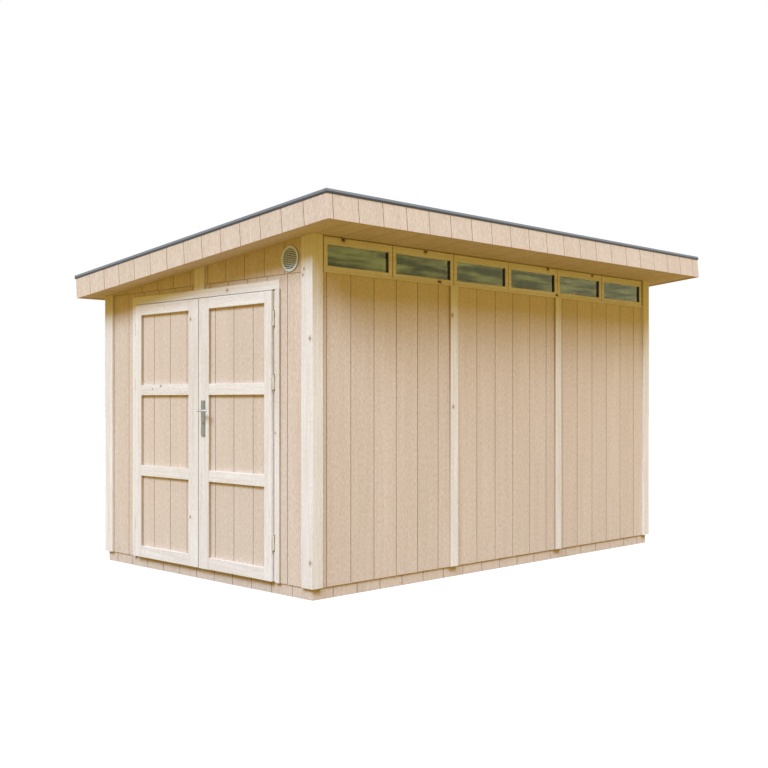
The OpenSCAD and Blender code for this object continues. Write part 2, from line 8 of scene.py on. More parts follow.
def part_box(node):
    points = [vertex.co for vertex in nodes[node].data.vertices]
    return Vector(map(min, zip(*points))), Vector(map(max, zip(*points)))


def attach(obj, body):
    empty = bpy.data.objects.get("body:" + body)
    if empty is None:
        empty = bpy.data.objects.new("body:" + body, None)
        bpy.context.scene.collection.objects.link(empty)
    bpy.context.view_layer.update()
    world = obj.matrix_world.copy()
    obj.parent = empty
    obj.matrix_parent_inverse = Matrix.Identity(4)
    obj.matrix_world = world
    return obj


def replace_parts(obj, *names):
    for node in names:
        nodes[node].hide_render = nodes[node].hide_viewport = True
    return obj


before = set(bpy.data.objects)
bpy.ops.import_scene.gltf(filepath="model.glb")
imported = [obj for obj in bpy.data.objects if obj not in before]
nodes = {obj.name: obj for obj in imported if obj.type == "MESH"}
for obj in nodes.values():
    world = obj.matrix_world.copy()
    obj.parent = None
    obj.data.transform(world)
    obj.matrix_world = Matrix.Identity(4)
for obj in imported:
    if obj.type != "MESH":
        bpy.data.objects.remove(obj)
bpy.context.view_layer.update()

# Places read from the frame, in metres
(X0, Y0, _), (X1, Y1, _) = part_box("plinth_ends")
LEAF_LOW, LEAF_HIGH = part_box("left_door_sheet")
LEFT_HINGE, RIGHT_HINGE = LEAF_LOW.x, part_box("right_door_sheet")[1].x
LEAF_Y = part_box("left_door_stiles")[0].y
TRIM_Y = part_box("door_head")[0].y
STOP_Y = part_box("door_stops")[0].y
TRIM_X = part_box("cover_battens")[1].x
SASH_LOW, SASH_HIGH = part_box("window_sashes")
SASH_X = SASH_HIGH.x
GLASS_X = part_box("window_panes")[1].x
ROW_A, ROW_B = (corner.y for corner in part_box("window_sill"))
PLATE_LOW, PLATE_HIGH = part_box("lock_plates")
LOCK_X = (PLATE_LOW.x + PLATE_HIGH.x) / 2
LEVER_Z = sum(corner.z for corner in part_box("lever_handle")) / 2
VENT_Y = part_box("vent_grille")[0].y
FLOOR_LOW, FLOOR_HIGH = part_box("floor_boards")
ROOF_Y0, ROOF_Y1 = (corner.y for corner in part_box("roof_deck"))

# Sizes that the part has too, in metres
SOFFIT_Z, SOFFIT_LOW_Z = 2.226, 2.0045
OVER_HIGH, OVER_LOW = 0.375, 0.114
DECK_FOOT, NOSE_LINE, DECK_TOP, FELT_TOP = 0.137, 0.149, 0.155, 0.158
FLANGE_W = 0.060
GROOVE_PITCH, GROOVE_D = 0.2032, 0.005
FRONT_GROOVE, SIDE_GROOVE = 0.228, 0.106
FASCIA_GROOVE, EAVE_GROOVE, SOFFIT_GROOVE = 0.208, 0.043, 0.228
SASH_COUNT, SASH_GAP = 6, 0.008
SASH_STILE, SASH_FOOT, SASH_TOP = 0.030, 0.026, 0.042
HINGE_Z = (0.320, 1.328, 1.729)
HINGE_GAP, FLAP_T = 0.020, 0.002
KEY_PROUD, KEY_DROP = 0.004, 0.085

SLOPE = math.atan((SOFFIT_Z - SOFFIT_LOW_Z) / (X1 - X0))
U_LOW, U_HIGH = -(X1 - X0) / math.cos(SLOPE) - OVER_LOW, OVER_HIGH
SASH_PITCH = (ROW_B - ROW_A) / SASH_COUNT
LOCK_FACE = PLATE_LOW.y + KEY_PROUD

# The x of each leaf's hinge edge, and which way along x the leaf lies from it
HINGE_EDGES = {"left": (LEFT_HINGE, 1), "right": (RIGHT_HINGE, -1)}

# Camera, at the photograph's viewing angle
FOCAL_PX = 1074.83
HORIZON_DROP_PX = 15.07
PICTURE_PX = 768
SENSOR_MM = 36
CAMERA_PLACE = (5.9742, -6.1845, 1.2235)
CAMERA_LEVEL, CAMERA_TURN = math.radians(90), math.radians(45.089)
VIEW_REACH = 200
camera_data = bpy.data.cameras.new("camera")
camera_data.sensor_width = SENSOR_MM
camera_data.lens = SENSOR_MM * FOCAL_PX / PICTURE_PX
camera_data.shift_y = HORIZON_DROP_PX / PICTURE_PX
camera_data.clip_end = VIEW_REACH
camera = bpy.data.objects.new("camera", camera_data)
camera.location = CAMERA_PLACE
camera.rotation_euler = (CAMERA_LEVEL, 0, CAMERA_TURN)
bpy.context.scene.collection.objects.link(camera)
bpy.context.scene.camera = camera
bpy.context.scene.view_settings.view_transform = "Standard"


def srgb(r, g, b):
    """Linear colour of an 8-bit sRGB triple."""
    def linear(v):
        v /= 255
        return v / 12.92 if v <= 0.04045 else ((v + 0.055) / 1.055) ** 2.4
    return (linear(r), linear(g), linear(b), 1)


def darker(colour, share):
    """The colour with its light cut to a share."""
    return tuple(c * share for c in colour[:3]) + (1,)


class Net:
    """A node tree that is built a node at a time."""

    def __init__(self, tree):
        self.tree = tree

    def add(self, kind, links=None, values=None, **settings):
        """A new node with its settings, its inputs' values and the sockets linked to its inputs."""
        node = self.tree.nodes.new("ShaderNode" + kind)
        for key, value in settings.items():
            setattr(node, key, value)
        for key, value in (values or {}).items():
            node.inputs[key].default_value = value
        for key, socket in (links or {}).items():
            self.tree.links.new(socket, node.inputs[key])
        return node

    def fill(self, node, values):
        """Link or set the numbered inputs of a node."""
        for n, value in values.items():
            if hasattr(value, "is_output"):
                self.tree.links.new(value, node.inputs[n])
            else:
                node.inputs[n].default_value = value

    def math(self, operation, a, b=0.0):
        node = self.add("Math", operation=operation)
        self.fill(node, {0: a, 1: b})
        return node.outputs[0]

    def blend(self, parts):
        """Sum of (value, share) pairs."""
        total = 0.0
        for value, share in parts:
            total = self.math("ADD", self.math("MULTIPLY", value, share), total)
        return total

    def noise(self, position, stretch, scale, detail=3.0, roughness=0.55):
        mapped = self.add("Mapping", {"Vector": position}, {"Scale": stretch})
        texture = self.add("TexNoise", {"Vector": mapped.outputs[0]},
                           {"Scale": scale, "Detail": detail, "Roughness": roughness})
        return texture.outputs["Fac"]

    def remap(self, value, low, high, to_low=0.0, to_high=1.0, kind="LINEAR"):
        """The value with low to high spread over to_low to to_high, and held at both ends."""
        limits = {"From Min": low, "From Max": high, "To Min": to_low, "To Max": to_high}
        return self.add("MapRange", {"Value": value}, limits, interpolation_type=kind).outputs[0]

    def reach(self, position, normal):
        """How far a position lies along a normal."""
        return self.add("VectorMath", {0: position}, {1: normal}, operation="DOT_PRODUCT").outputs["Value"]

    def ramp(self, value, stops):
        """The colour at a value between stops, which are (place, colour)."""
        node = self.add("ValToRGB", {"Fac": value})
        elements = node.color_ramp.elements
        while len(elements) < len(stops):
            elements.new(0.5)
        for element, (place, colour) in zip(elements, stops):
            element.position = place
            element.color = colour
        return node.outputs[0]

    def mix(self, factor, a, b, blend="MIX"):
        """Two colours mixed: the Mix node takes them at its inputs 6 and 7, and its output 2 gives one."""
        node = self.add("Mix", data_type="RGBA", blend_type=blend)
        self.fill(node, {0: factor, 6: a, 7: b})
        return node.outputs[2]

    def seen(self):
        """1 on rays from the camera and on those that gloss or glass sends on."""
        path = self.add("LightPath")
        direct = self.math("MAXIMUM", path.outputs["Is Camera Ray"], path.outputs["Is Glossy Ray"])
        return self.math("MAXIMUM", direct, path.outputs["Is Transmission Ray"])


looks = {}


def material(name):
    """The net, the Principled shader and the object's coordinates of a new material, kept in looks."""
    made = bpy.data.materials.new(name)
    made.use_nodes = True
    looks[name] = made
    net = Net(made.node_tree)
    return net, made.node_tree.nodes["Principled BSDF"], net.add("TexCoord").outputs["Object"]


def feed(net, shader, colour, roughness, height, depth):
    """Link a colour, a roughness and a bump height, with its depth in metres, to a shader."""
    bump = net.add("Bump", {"Height": height}, {"Strength": 1.0, "Distance": depth})
    net.tree.links.new(colour, shader.inputs["Base Color"])
    net.tree.links.new(roughness, shader.inputs["Roughness"])
    net.tree.links.new(bump.outputs[0], shader.inputs["Normal"])


AXES = "xyz"
EVEN = (1, 1, 1)
ALONG_X, ALONG_Y = Vector((1, 0, 0)), Vector((0, 1, 0))


def stretched(axis, amount):
    """Scale of a pattern that is drawn out along one axis."""
    return tuple(amount if name == axis else 1.0 for name in AXES)


def along(net, vector, axis):
    """The part of a vector along an axis."""
    return net.add("SeparateXYZ", {0: vector}).outputs[AXES.index(axis)]


def turned(net, axis):
    """How far a face is turned along its object's axis: 1 is straight along it, -1 straight against it."""
    normal = net.add("NewGeometry").outputs["True Normal"]
    own = net.add("VectorTransform", {0: normal}, vector_type="NORMAL", convert_from="WORLD",
                  convert_to="OBJECT")
    return along(net, own.outputs[0], axis)


# Wood: the sway of its grain and the depth of its relief in metres, its gloss, and each board's own hue
GRAIN_SWAY, GRAIN_DEPTH = 0.02, 0.0006
PALE_ROUGHNESS, DEEP_ROUGHNESS, WOOD_SPECULAR = 0.67, 0.80, 0.03
HUE_SHARE = 0.3
NOISE_LOW, NOISE_MIDDLE, NOISE_HIGH = 0.2, 0.5, 0.8


def grain(net, position, axis, spread, fleck):
    """Softwood with its grain along an axis: its tone from 0 to 1, its relief and the bent position.

    fleck is the share of short flecks in the tone, and a smaller spread gives more contrast.
    """
    def drawn(place, stretch, scale, detail=2.0, roughness=0.55):
        return net.noise(place, stretched(axis, stretch), scale, detail, roughness)

    warp = net.math("MULTIPLY", drawn(position, stretch=0.25, scale=4.0), GRAIN_SWAY)
    shift = net.add("CombineXYZ", {n: warp for n, name in enumerate(AXES) if name != axis})
    bent = net.add("VectorMath", {0: position, 1: shift.outputs[0]}, operation="ADD").outputs[0]
    fine = drawn(bent, stretch=0.012, scale=420.0)
    streak = drawn(bent, stretch=0.03, scale=75.0, detail=3.0, roughness=0.6)
    band = drawn(bent, stretch=0.05, scale=16.0)
    pits = drawn(position, stretch=0.35, scale=115.0, detail=3.0, roughness=0.65)
    drift = drawn(position, stretch=0.35, scale=2.6)
    lines = net.blend([(fine, 0.17), (streak, 0.39), (band, 0.30), (drift, 0.14)])
    mixed = net.blend([(pits, fleck), (lines, 1.0 - fleck)])
    tone = net.remap(mixed, NOISE_MIDDLE - spread, NOISE_MIDDLE + spread)
    return tone, net.blend([(fine, 0.6), (streak, 0.4)]), bent


def board_gains(net, position, strip, tint):
    """A gain for each board of a strip, which is (axis, pitch, offset)."""
    axis, pitch, offset = strip
    place = net.math("SUBTRACT", along(net, position, axis), offset)
    count = net.math("FLOOR", net.math("DIVIDE", place, pitch))
    pick = net.add("TexWhiteNoise", {"W": count}, noise_dimensions="1D")
    swing = net.remap(pick.outputs["Value"], 0.0, 1.0, 1.0 - tint, 1.0 + tint)
    hue = net.add("SeparateColor", {0: pick.outputs["Color"]})
    hue_tint = HUE_SHARE * tint
    gains = {0: swing}
    for n in (1, 2):
        own = net.remap(hue.outputs[n], 0.0, 1.0, 1.0 - hue_tint, 1.0 + hue_tint)
        gains[n] = net.math("MULTIPLY", swing, own)
    return net.add("CombineColor", gains).outputs[0]


# Ranges over which painted shade comes in or fades: metres below a face, metres from a cut end, and how far
# a face is turned up or to the side
RIM_FROM, RIM_TO = 0.0003, 0.0012
END_FROM, END_TO = 0.001, 0.002
LEVEL_FROM, LEVEL_TO = 0.4, 0.6
SIDE_FROM, SIDE_TO = 0.7, 0.9


def in_groove(net, position, faces, ends=None, level=False):
    """1 between the face of a sheet and the foot of its grooves, where shade is painted, and 0 elsewhere.

    faces is (normal, centre, half): the sheets' faces lie half to each side of centre along the normal.
    ends is the same for the two cut ends of the sheets, and level is true of sheets that lie flat.
    """
    def inset(normal, centre, half):
        away = net.math("ABSOLUTE", net.math("SUBTRACT", net.reach(position, normal), centre))
        return net.math("SUBTRACT", half, away)

    depth = inset(*faces)
    below_face = net.remap(depth, RIM_FROM, RIM_TO)
    above_foot = net.remap(depth, GROOVE_D + RIM_FROM, GROOVE_D + RIM_TO, 1.0, 0.0)
    mask = net.math("MULTIPLY", below_face, above_foot)
    if ends:
        mask = net.math("MULTIPLY", mask, net.remap(inset(*ends), END_FROM, END_TO))
    if not level:
        tilt = net.math("ABSOLUTE", turned(net, "z"))
        mask = net.math("MULTIPLY", mask, net.remap(tilt, LEVEL_FROM, LEVEL_TO, 1.0, 0.0))
    return mask


def in_recess(net, position, axis, low, high):
    """1 on faces that are turned along an axis between two places on it, where shade is painted, and 0
    elsewhere.
    """
    place = along(net, position, axis)
    side = net.remap(net.math("ABSOLUTE", turned(net, axis)), SIDE_FROM, SIDE_TO)
    inside = net.math("MULTIPLY", net.math("GREATER_THAN", place, low), net.math("LESS_THAN", place, high))
    return net.math("MULTIPLY", side, inside)


# Knots, with the reach of their halo and core, their ragged edge and their length in radii
KNOT_CORE, KNOT_HALO = srgb(74, 46, 24), srgb(192, 152, 108)
CORE_FROM, CORE_TO = 0.5, 1.2
HALO_FROM, HALO_TO = 0.8, 2.6
RAGGED_EDGE, KNOT_LENGTH = 0.5, 1.4
NO_KNOT = 9.0

# How strong a placed knot's halo is and how dark its core may be, and the same of the random small knots,
# which lie in cells: cells to a metre, radius in metres, and the cells' stretch along the grain
HALO_SHARE = 0.4
PALE_KNOT, PLAIN_KNOT, DARK_KNOT = 0.55, 0.75, 0.92
PIN_CORE, PIN_HALO = 0.4, 0.35
PIN_CELLS, PIN_RADIUS, PIN_STRETCH = 5.5, 0.0065, 0.45
CHANCE_STEP = 0.001


def knot(net, colour, distance, core, halo):
    """The colour with a knot in it, given the distance from its middle in radii."""
    colour = net.mix(net.remap(distance, HALO_FROM, HALO_TO, halo, 0.0, "SMOOTHSTEP"), colour, KNOT_HALO)
    return net.mix(net.remap(distance, CORE_FROM, CORE_TO, core, 0.0, "SMOOTHSTEP"), colour, KNOT_CORE)


def placed_knots(net, position, axis, knots):
    """Distance in radii from the nearest of some knots, which are (x, y, z, radius)."""
    nearest = NO_KNOT
    for *place, radius in knots:
        size = [radius * (KNOT_LENGTH if name == axis else 1.0) for name in AXES]
        values = {1: [1 / s for s in size], 2: [-p / s for p, s in zip(place, size)]}
        scaled = net.add("VectorMath", {0: position}, values, operation="MULTIPLY_ADD").outputs[0]
        away = net.add("VectorMath", {0: scaled}, operation="LENGTH").outputs["Value"]
        nearest = net.math("MINIMUM", away, nearest)
    return nearest


def pin_knots(net, bent, axis, share):
    """Distance in radii from the nearest random small knot, in a share of the cells."""
    mapped = net.add("Mapping", {"Vector": bent}, {"Scale": stretched(axis, PIN_STRETCH)})
    cells = net.add("TexVoronoi", {"Vector": mapped.outputs[0]}, {"Scale": PIN_CELLS, "Randomness": 1.0})
    chance = net.add("SeparateColor", {0: cells.outputs["Color"]}).outputs[0]
    away = net.math("DIVIDE", cells.outputs["Distance"], PIN_CELLS * PIN_RADIUS)
    return net.math("ADD", away, net.remap(chance, share - CHANCE_STEP, share, 0.0, NO_KNOT))


def wood(name, colours, axis, strip, tint=0.02, groove=(), recess=(), knots=(), core=0.0, pins=0.0,
         spread=0.22, fleck=0.28):
    """Softwood from its pale and deep colours, with its grain along an axis of the frame.

    strip gives each board its own tone, groove and recess hold the arguments of in_groove and in_recess,
    knots are listed one by one and core is how dark they are, and pins is the share of cells with a random
    small knot.
    """
    net, shader, position = material(name)
    tone, relief, bent = grain(net, position, axis, spread, fleck)
    pale, deep = colours
    colour = net.ramp(tone, [(0.0, deep), (1.0, pale)])
    colour = net.mix(1.0, colour, board_gains(net, position, strip, tint), "MULTIPLY")
    # Painted shade in the grooves
    if groove:
        colour = net.mix(in_groove(net, position, *groove), colour, GROOVE_SHADE, "MULTIPLY")
    # Painted shade on the side faces in a recess
    if recess:
        colour = net.mix(in_recess(net, position, *recess), colour, RECESS_SHADE, "MULTIPLY")
    tatter = net.noise(position, stretched(axis, 0.5), scale=210.0, detail=2.0)
    ragged = net.remap(tatter, NOISE_LOW, NOISE_HIGH, -RAGGED_EDGE, RAGGED_EDGE)
    if knots:
        distance = net.math("ADD", placed_knots(net, position, axis, knots), ragged)
        colour = knot(net, colour, distance, core, HALO_SHARE)
    if pins:
        distance = net.math("ADD", pin_knots(net, bent, axis, pins), ragged)
        colour = knot(net, colour, distance, PIN_CORE, PIN_HALO)
    roughness = net.remap(tone, 0.0, 1.0, DEEP_ROUGHNESS, PALE_ROUGHNESS)
    feed(net, shader, colour, roughness, relief, GRAIN_DEPTH)
    shader.inputs["Specular IOR Level"].default_value = WOOD_SPECULAR


# Metal: the share of its colour in the darkest lines, its swing of roughness, how far down a face is turned
# that is fully in painted shade, and the blur of the painted shade's edge below a lip in metres
METAL_DARK, METAL_SWING = 0.72, 0.08
DOWN_FULL = -0.6
LIP_EASE = 0.001


def metal(name, colour, axis, roughness, metallic=1.0, lip_shade=None, underside_shade=1.0):
    """Brushed or rolled metal with fine lines along one axis.

    A lip of (normal, height, colour) paints shade: the metal below that height along the normal takes that
    colour.
    An underside share paints shade on faces turned down: they keep that share of the colour.
    """
    net, shader, position = material(name)
    lines = net.noise(position, stretched(axis, 0.04), scale=900.0, detail=2.0)
    tone = net.blend([(lines, 0.5), (net.noise(position, EVEN, scale=22.0), 0.5)])
    mixed = net.ramp(tone, [(0.3, darker(colour, METAL_DARK)), (0.7, colour)])
    if lip_shade:
        normal, height, under = lip_shade
        below = net.remap(net.reach(position, normal), height - LIP_EASE, height + LIP_EASE, 1.0, 0.0)
        mixed = net.mix(below, mixed, under)
    if underside_shade < 1.0:
        down = net.remap(turned(net, "z"), DOWN_FULL, 0.0, 1.0, 0.0)
        mixed = net.mix(down, mixed, darker(colour, underside_shade))
    rough = net.remap(tone, 0.25, 0.75, roughness - METAL_SWING, roughness + METAL_SWING)
    feed(net, shader, mixed, rough, lines, depth=0.00005)
    shader.inputs["Metallic"].default_value = metallic


# Felt: its grit from dark to pale, and the tone of its stains
GRIT_DARK, GRIT_MIDDLE, GRIT_PALE = srgb(30, 30, 29), srgb(54, 53, 50), srgb(88, 86, 81)
FELT_STAIN = srgb(40, 40, 38)


def felt(name):
    """Mineral roofing felt: dark grit with paler grains."""
    net, shader, position = material(name)
    grit = net.add("TexVoronoi", {"Vector": position}, {"Scale": 520.0})
    patch = net.noise(position, EVEN, scale=3.0, detail=4.0)
    speck = net.add("SeparateColor", {0: grit.outputs["Color"]}).outputs[0]
    grains = net.ramp(speck, [(0.0, GRIT_DARK), (0.55, GRIT_MIDDLE), (1.0, GRIT_PALE)])
    colour = net.mix(net.remap(patch, 0.35, 0.7, 0.0, 0.35), grains, FELT_STAIN)
    rough = net.remap(speck, 0.0, 1.0, 0.95, 0.8)
    feed(net, shader, colour, rough, grit.outputs["Distance"], depth=0.0008)


# Plastic: the shares of its colour left by age and by the painted shade between slats
AGED_SHARE, SLAT_SHARE = 0.88, 0.1


def plastic(name, colour, roughness, shade=None):
    """Moulded plastic or rubber with a fine spark-eroded skin.

    shade is (near, far): painted shade, the plastic darkens from near to far along y, as between the
    slats of a vent.
    """
    net, shader, position = material(name)
    skin = net.noise(position, EVEN, scale=1400.0, detail=2.0)
    age = net.noise(position, EVEN, scale=18.0)
    mixed = net.ramp(age, [(0.35, darker(colour, AGED_SHARE)), (0.65, colour)])
    if shade:
        mixed = net.mix(net.remap(net.reach(position, ALONG_Y), *shade), mixed, darker(colour, SLAT_SHARE))
    rough = net.remap(age, 0.3, 0.7, roughness + 0.06, roughness - 0.04)
    feed(net, shader, mixed, rough, skin, depth=0.00006)


# Glass: its tint, the dull and bright bands of its painted reflection, the light that passes, and its
# index of refraction
DEEP_GLASS, PALE_GLASS = srgb(200, 204, 160), srgb(218, 222, 180)
DULL_REFLECTION, BRIGHT_REFLECTION = (0.27, 0.255, 0.06, 1), (1.0, 0.93, 0.24, 1)
LET_THROUGH = (0.82, 0.82, 0.72, 1)
GLASS_IOR = 2.0


def glass(name):
    """Olive window glass with a painted reflection in soft bands along the row, that lets light through."""
    net, shader, position = material(name)
    wave = net.noise(position, EVEN, scale=5.0, detail=1.0)
    dust = net.noise(position, EVEN, scale=14.0, detail=4.0)
    band = net.noise(position, (1, 0.14, 1.5), scale=16.0, detail=2.0)
    colour = net.ramp(dust, [(0.3, DEEP_GLASS), (0.7, PALE_GLASS)])
    # Painted reflection: dull and bright bands tint what the glass reflects
    painted_reflection = net.ramp(band, [(0.40, DULL_REFLECTION), (0.62, BRIGHT_REFLECTION)])
    feed(net, shader, colour, net.remap(dust, 0.35, 0.75, 0.0, 0.06), wave, depth=0.0004)
    net.tree.links.new(painted_reflection, shader.inputs["Specular Tint"])
    shader.inputs["Transmission Weight"].default_value = 1.0
    shader.inputs["IOR"].default_value = GLASS_IOR
    clear = net.add("BsdfTransparent", values={"Color": LET_THROUGH})
    shade = net.add("LightPath").outputs["Is Shadow Ray"]
    both = net.add("MixShader", {0: shade, 1: shader.outputs[0], 2: clear.outputs[0]})
    net.tree.links.new(both.outputs[0], net.tree.nodes["Material Output"].inputs["Surface"])


# Pale and deep colours of the three kinds of wood, and what the painted shade in grooves and recesses
# leaves of them
SIDING = srgb(233, 217, 202), srgb(202, 180, 159)
TRIM = srgb(250, 246, 242), srgb(213, 199, 184)
FRAMING = srgb(224, 196, 150), srgb(200, 164, 112)
GROOVE_SHADE = (0.50, 0.28, 0.16, 1)
RECESS_SHADE = (0.65, 0.55, 0.41, 1)

# Boards between the grooves of each wall and of the roof's edges
FRONT_BOARDS = ("x", GROOVE_PITCH, X1 - FRONT_GROOVE)
SIDE_BOARDS = ("y", GROOVE_PITCH, Y0 + SIDE_GROOVE)
GABLE_BOARDS = ("x", GROOVE_PITCH * math.cos(SLOPE), X1 + (OVER_HIGH - FASCIA_GROOVE) * math.cos(SLOPE))
EAVE_BOARDS = ("y", GROOVE_PITCH, ROOF_Y0 + EAVE_GROOVE)
SOFFIT_BOARDS = ("y", GROOVE_PITCH, ROOF_Y0 + SOFFIT_GROOVE)

# Other strips with their own tones, at steps along an axis
TRIM_START = 0.03
UPRIGHT_STEP, LEVEL_STEP, STUD_STEP, BEARER_STEP = 0.17, 0.21, 0.30, 0.35
FLOOR_PLANKS = 20
UPRIGHT_TRIMS = ("x", UPRIGHT_STEP, TRIM_START)
LEVEL_TRIMS = ("z", LEVEL_STEP, TRIM_START)
SASHES = ("y", SASH_PITCH, ROW_A)
STUDS = ("y", STUD_STEP, 0.0)
BEARERS = ("y", BEARER_STEP, 0.0)
PLANKS = ("x", (FLOOR_HIGH.x - FLOOR_LOW.x) / FLOOR_PLANKS, FLOOR_LOW.x)

# Where the grooved faces lie: across the shed, along it, and in the roof's own frame
UP_SLOPE = Vector((math.cos(SLOPE), 0, math.sin(SLOPE)))
OUT_OF_SLOPE = Vector((-math.sin(SLOPE), 0, math.cos(SLOPE)))
ROOF_FOOT = Vector((X1, 0, SOFFIT_Z))
SOFFIT_REACH = OUT_OF_SLOPE.dot(ROOF_FOOT)
EAVE_REACH = UP_SLOPE.dot(ROOF_FOOT)


def faces_at(normal, low, high):
    """(normal, centre, half) of two faces that lie at low and high along a normal."""
    return normal, (low + high) / 2, (high - low) / 2


end_walls = faces_at(ALONG_Y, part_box("front_wall_sheets")[0].y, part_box("back_wall_sheets")[1].y)
side_walls = faces_at(ALONG_X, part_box("low_wall_sheets")[0].x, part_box("window_wall_sheets")[1].x)
end_plinths = faces_at(ALONG_Y, Y0, Y1)
side_plinths = faces_at(ALONG_X, X0, X1)
door_faces = faces_at(ALONG_Y, LEAF_LOW.y, Y1)
gable_faces = faces_at(ALONG_Y, *(corner.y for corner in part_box("gable_fascias")))
roof_ends = faces_at(UP_SLOPE, EAVE_REACH + U_LOW, EAVE_REACH + U_HIGH)
soffit_face = faces_at(OUT_OF_SLOPE, SOFFIT_REACH, SOFFIT_REACH + DECK_TOP)

# Knots that show in the photograph: x, y, z and radius
upright_knots = [
    (-0.175, LEAF_Y, 1.77, 0.007), (-0.18, LEAF_Y, 0.415, 0.007), (0.725, TRIM_Y, 1.01, 0.006),
    (1.058, TRIM_Y, 0.23, 0.009), (1.055, TRIM_Y, 1.59, 0.009), (1.00, TRIM_Y, 2.015, 0.006),
    (0.99, TRIM_Y, 1.98, 0.006), (TRIM_X, -0.64, 1.80, 0.009), (TRIM_X, -0.63, 1.17, 0.008),
]
level_knots = [(0.225, TRIM_Y, 1.94, 0.008), (-0.54, LEAF_Y, 1.315, 0.007), (-0.645, LEAF_Y, 1.295, 0.005)]
sash_knots = [
    (SASH_X, -1.65, 2.212, 0.013), (SASH_X, -0.90, 2.210, 0.012), (SASH_X, 0.465, 2.212, 0.012),
    (SASH_X, 1.055, 2.210, 0.011), (SASH_X, -0.76, 2.020, 0.013), (SASH_X, 0.58, 2.020, 0.011),
]


def siding(name, axis, strip, *groove):
    """Sheet cladding with painted shade in its grooves."""
    wood(name, SIDING, axis, strip, groove=groove, spread=0.17, fleck=0.60)


def trim(name, axis, strip, knots, core, *recess):
    """Planed pale boards, with painted shade on the edges that stand on the cladding."""
    wood(name, TRIM, axis, strip, recess=recess, knots=knots, core=core, pins=0.06, spread=0.16)


def framing(name, axis, strip, tint):
    """Sawn timber inside the shed."""
    wood(name, FRAMING, axis, strip, tint, pins=0.3)


NO_ENDS, LIES_FLAT = None, True
siding("siding_front", "z", FRONT_BOARDS, end_walls)
siding("siding_door", "z", FRONT_BOARDS, door_faces)
siding("siding_gable", "z", GABLE_BOARDS, gable_faces, roof_ends)
siding("siding_end_plinth", "z", FRONT_BOARDS, end_plinths, side_plinths)
siding("siding_side", "z", SIDE_BOARDS, side_walls)
siding("siding_side_plinth", "z", SIDE_BOARDS, side_plinths)
siding("siding_eave", "z", EAVE_BOARDS, roof_ends)
siding("siding_soffit", "x", SOFFIT_BOARDS, soffit_face, NO_ENDS, LIES_FLAT)
trim("trim_upright", "z", UPRIGHT_TRIMS, upright_knots, PALE_KNOT)
trim("trim_stile", "z", UPRIGHT_TRIMS, upright_knots, PLAIN_KNOT,
     "x", LEFT_HINGE + HINGE_GAP, RIGHT_HINGE - HINGE_GAP)
trim("trim_jamb", "z", UPRIGHT_TRIMS, upright_knots, PALE_KNOT, "x", RIGHT_HINGE + 2 * HINGE_GAP, X1)
trim("trim_batten", "z", UPRIGHT_TRIMS, upright_knots, PALE_KNOT, "y", Y0 + SASH_PITCH, Y1 - SASH_PITCH)
trim("trim_level", "x", LEVEL_TRIMS, level_knots, PALE_KNOT)
trim("trim_sash", "y", SASHES, sash_knots, DARK_KNOT)
framing("frame_upright", "z", STUDS, tint=0.05)
framing("frame_level", "x", BEARERS, tint=0.05)
framing("planks", "y", PLANKS, tint=0.07)

# Painted shade on the edge strip below the fold of its nose
nose_shade = (OUT_OF_SLOPE, SOFFIT_REACH + NOSE_LINE, srgb(60, 60, 59))
# Painted shade between the vent's slats
SLAT_NEAR, SLAT_FAR = 0.002, 0.006
vent_shade = (VENT_Y + SLAT_NEAR, VENT_Y + SLAT_FAR)
glass("glass")
metal("zinc", srgb(222, 208, 184), "z", roughness=0.36, metallic=0.6)
# Painted shade on the lever's faces that are turned down
metal("lever_steel", srgb(226, 224, 214), "x", roughness=0.24, underside_shade=0.25)
metal("satin_steel", srgb(150, 147, 128), "z", roughness=0.34)
metal("edge_metal", srgb(116, 119, 121), "y", roughness=0.5, metallic=0.0, lip_shade=nose_shade)
metal("flange_metal", srgb(84, 86, 86), "y", roughness=0.5, metallic=0.0)
plastic("rubber", srgb(58, 54, 36), roughness=0.7)
plastic("vent_plastic", srgb(232, 242, 250), roughness=0.5, shade=vent_shade)
felt("felt")

dressed = {
    "siding_front": ["front_wall_sheets", "front_gable_sheets", "back_wall_sheets"],
    "siding_door": ["left_door_sheet", "right_door_sheet"],
    "siding_gable": ["gable_fascias"],
    "siding_end_plinth": ["plinth_ends"],
    "siding_side": ["window_wall_sheets", "low_wall_sheets"],
    "siding_side_plinth": ["plinth_sides"],
    "siding_eave": ["eave_fascias"],
    "siding_soffit": ["soffits"],
    "trim_upright": ["gable_corner_boards", "side_corner_boards", "front_gable_post"],
    "trim_stile": ["left_door_stiles", "right_door_stiles"],
    "trim_jamb": ["door_jambs"],
    "trim_batten": ["cover_battens"],
    "trim_level": ["door_head", "left_door_rails", "right_door_rails"],
    "trim_sash": ["window_sill", "window_sashes"],
    "frame_upright": ["wall_studs", "window_mullions", "door_stops"],
    "frame_level": ["floor_bearers", "bottom_plates", "top_plates", "door_lintel", "door_threshold",
                    "rafters"],
    "planks": ["floor_boards", "roof_deck"],
    "glass": ["window_panes"],
    "zinc": ["frame_hinges", "left_door_hinges", "right_door_hinges"],
    "satin_steel": ["lock_plates"],
    "lever_steel": ["lever_handle"],
    "edge_metal": ["roof_edge_strips"],
    "flange_metal": ["roof_edge_flanges"],
    "vent_plastic": ["vent_grille"],
    "felt": ["roof_felt"],
}

# Rounding of planed and sawn edges in metres, and the angles at which faces count as flat and edges as sharp
PLANED_EDGE, SASH_EDGE, SAWN_EDGE = 0.0015, 0.0012, 0.002
SOFT_EDGES = {
    "trim_upright": PLANED_EDGE, "trim_stile": PLANED_EDGE, "trim_jamb": PLANED_EDGE,
    "trim_batten": PLANED_EDGE, "trim_level": PLANED_EDGE, "trim_sash": SASH_EDGE,
    "frame_upright": SAWN_EDGE, "frame_level": SAWN_EDGE,
}
FLAT_ANGLE, SHARP_ANGLE = math.radians(1), math.radians(40)
WELD_REACH = 1e-6


